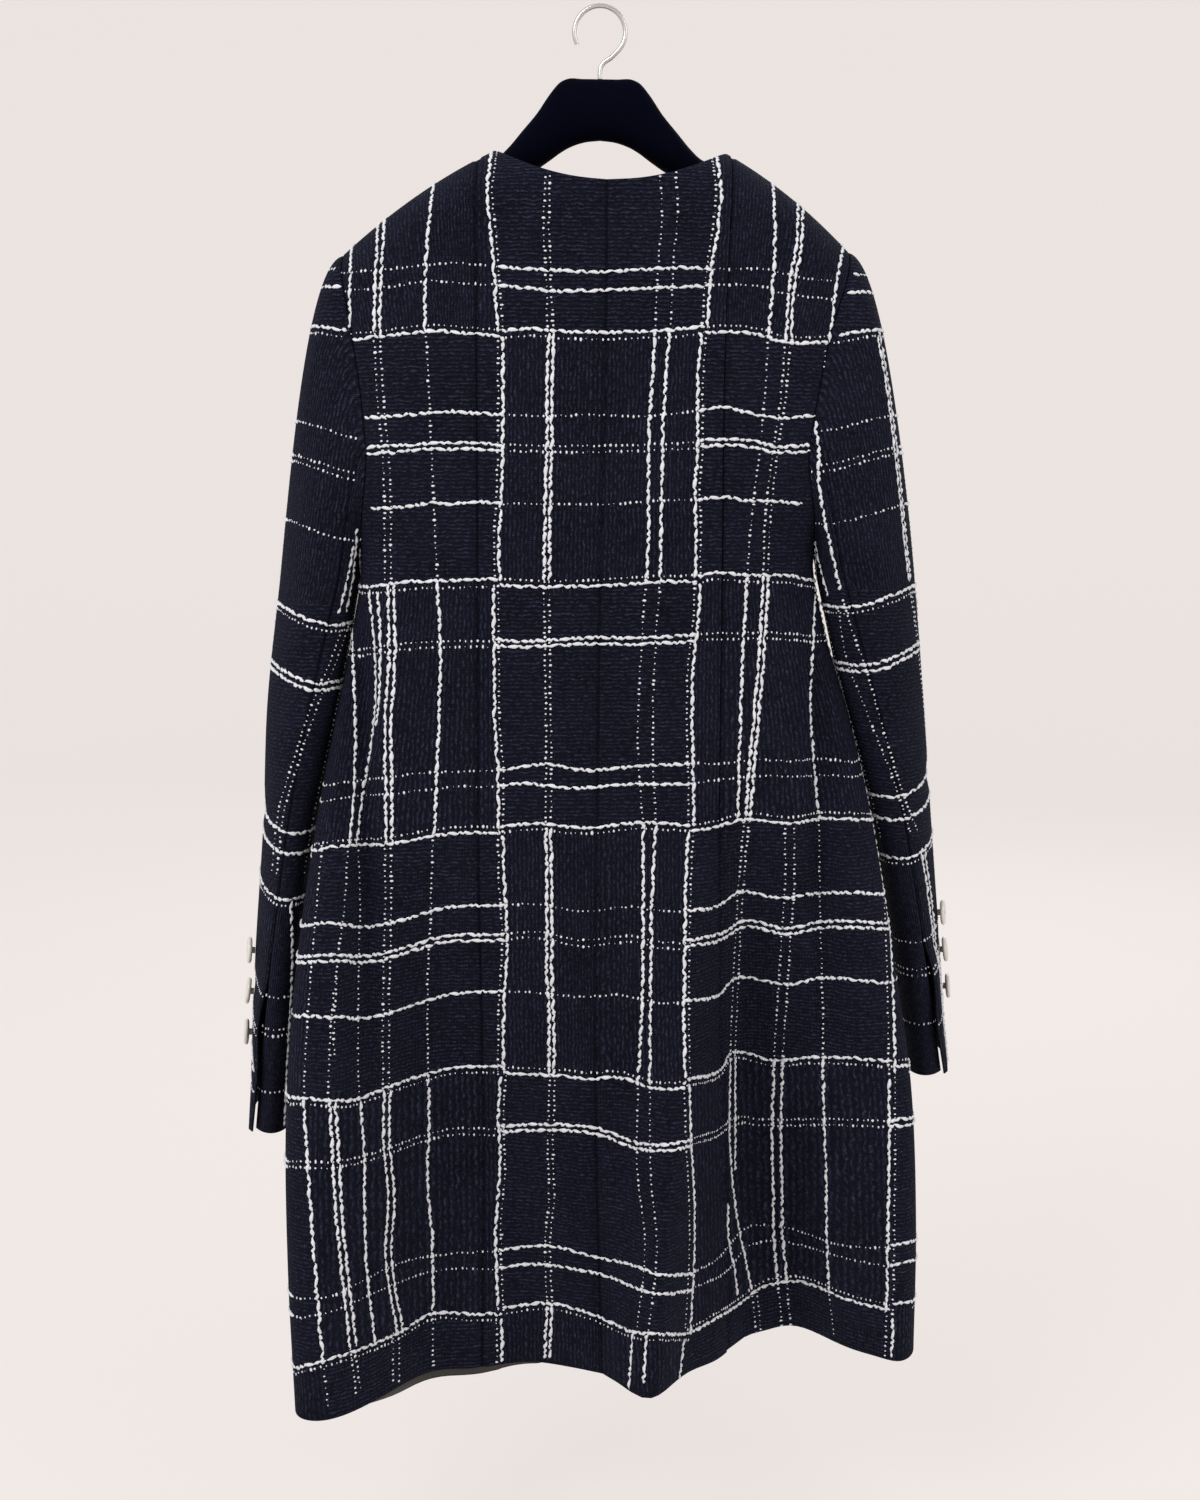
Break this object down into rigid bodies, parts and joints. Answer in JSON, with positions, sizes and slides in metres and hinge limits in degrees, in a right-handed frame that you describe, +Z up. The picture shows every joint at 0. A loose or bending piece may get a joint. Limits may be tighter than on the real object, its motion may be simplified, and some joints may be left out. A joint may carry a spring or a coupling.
{
  "type": "tweed coat on hanger",
  "caption": "Collarless checked tweed coat seen from the back, with two-piece sleeves and vented cuffs, hanging on a broad contoured hanger with a wire hook.",
  "frame": {"origin": "the inside of the hook's top, where a rail carries the hanger and the coat", "axes": "+Z up; +X to the right of the coat's back as seen in the picture; +Y towards the coat's front, away from the picture's viewer"},
  "size_m": [0.5568, 0.281, 1.0136],
  "materials": {
    "tweed": "black tweed with an open white windowpane check",
    "button": "pale, softly shiny",
    "lining": "dark brown smooth lining",
    "hanger": "matte black",
    "hook": "plain steel wire"
  },
  "bodies": {
    "root": {"back_centre_left": "tweed", "back_centre_right": "tweed", "back_side_left": "tweed", "back_side_right": "tweed", "front_left": "tweed", "front_right": "tweed", "sleeve_upper_left": "tweed", "sleeve_upper_right": "tweed", "sleeve_under_left": "tweed", "sleeve_under_right": "tweed", "button_left_1": "button", "button_left_2": "button", "button_left_3": "button", "button_right_1": "button", "button_right_2": "button", "button_right_3": "button", "lining_hem": "lining", "hanger": "hanger", "hook": "hook"}
  },
  "joints": []
}
